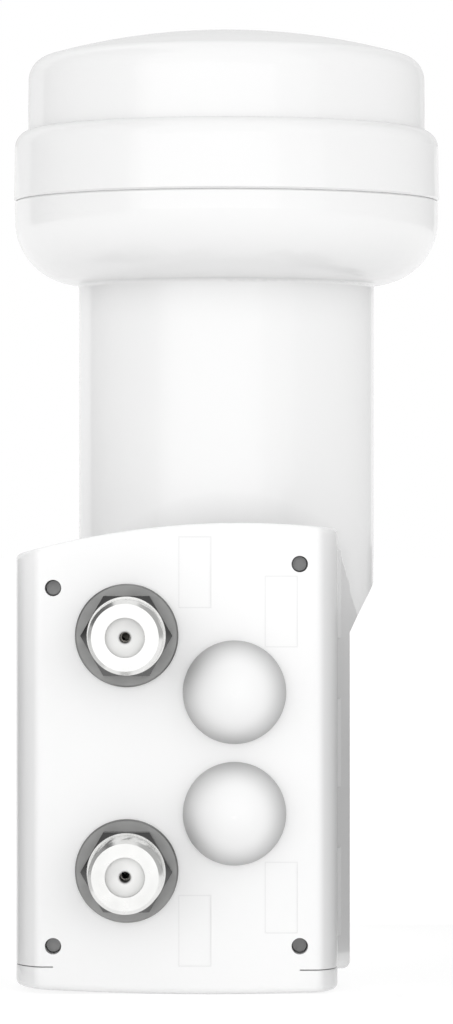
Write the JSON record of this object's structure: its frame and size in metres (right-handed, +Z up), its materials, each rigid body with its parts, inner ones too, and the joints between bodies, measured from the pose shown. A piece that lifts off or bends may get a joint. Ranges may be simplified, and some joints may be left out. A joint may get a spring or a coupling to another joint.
{
  "type": "satellite lnb",
  "caption": "Satellite LNB: domed feed head on a round clamping neck, with a flat offset case whose face carries threaded coaxial ports beside domed blanking plugs.",
  "frame": {"origin": "on the neck's axis, at the middle of the straight length that a clamp grips", "axes": "+Z up the neck's axis towards the feed head, -Y the way the ports face, +X to the right when the ports' side is looked at"},
  "size_m": [0.0578, 0.0712, 0.1277],
  "materials": {
    "white_plastic": "moulded, glossy white",
    "seal_rubber": "plain black",
    "cast_metal": "as cast, satin",
    "plated_metal": "bright plated",
    "washer_steel": "dull plated",
    "screw_steel": "plated",
    "pin_steel": "dark plated",
    "contact_brass": "bright",
    "insulator": "pale, smooth",
    "rod_metal": "drawn",
    "board_laminate": "solder mask",
    "chip_black": "moulded",
    "capacitor_body": "fired",
    "absorber": "filled sheet"
  },
  "bodies": {
    "root": {"neck_housing": "white_plastic", "radome_cap": "white_plastic", "front_cover": "white_plastic", "blanking_plug_1": "white_plastic", "blanking_plug_2": "white_plastic", "radome_seal": "seal_rubber", "waveguide_seal": "seal_rubber", "cover_seal": "seal_rubber", "connector_seal_1": "seal_rubber", "connector_seal_2": "seal_rubber", "feed_horn": "cast_metal", "chassis": "cast_metal", "shield_lid": "cast_metal", "connector_body_1": "plated_metal", "connector_body_2": "plated_metal", "connector_nut_1": "plated_metal", "connector_nut_2": "plated_metal", "connector_washer_1": "washer_steel", "connector_washer_2": "washer_steel", "lid_screws": "screw_steel", "chassis_screws": "screw_steel", "reference_crystal": "screw_steel", "cover_pins": "pin_steel", "connector_contact_1": "contact_brass", "connector_contact_2": "contact_brass", "probe_straight": "contact_brass", "probe_bent": "contact_brass", "connector_insulator_1": "insulator", "connector_insulator_2": "insulator", "probe_bush_1": "insulator", "probe_bush_2": "insulator", "isolation_rod": "rod_metal", "circuit_board": "board_laminate", "amplifier_transistors": "chip_black", "mixer_chip": "chip_black", "switch_chip": "chip_black", "voltage_regulator": "chip_black", "board_capacitors": "capacitor_body", "absorber_pad": "absorber"}
  },
  "joints": []
}
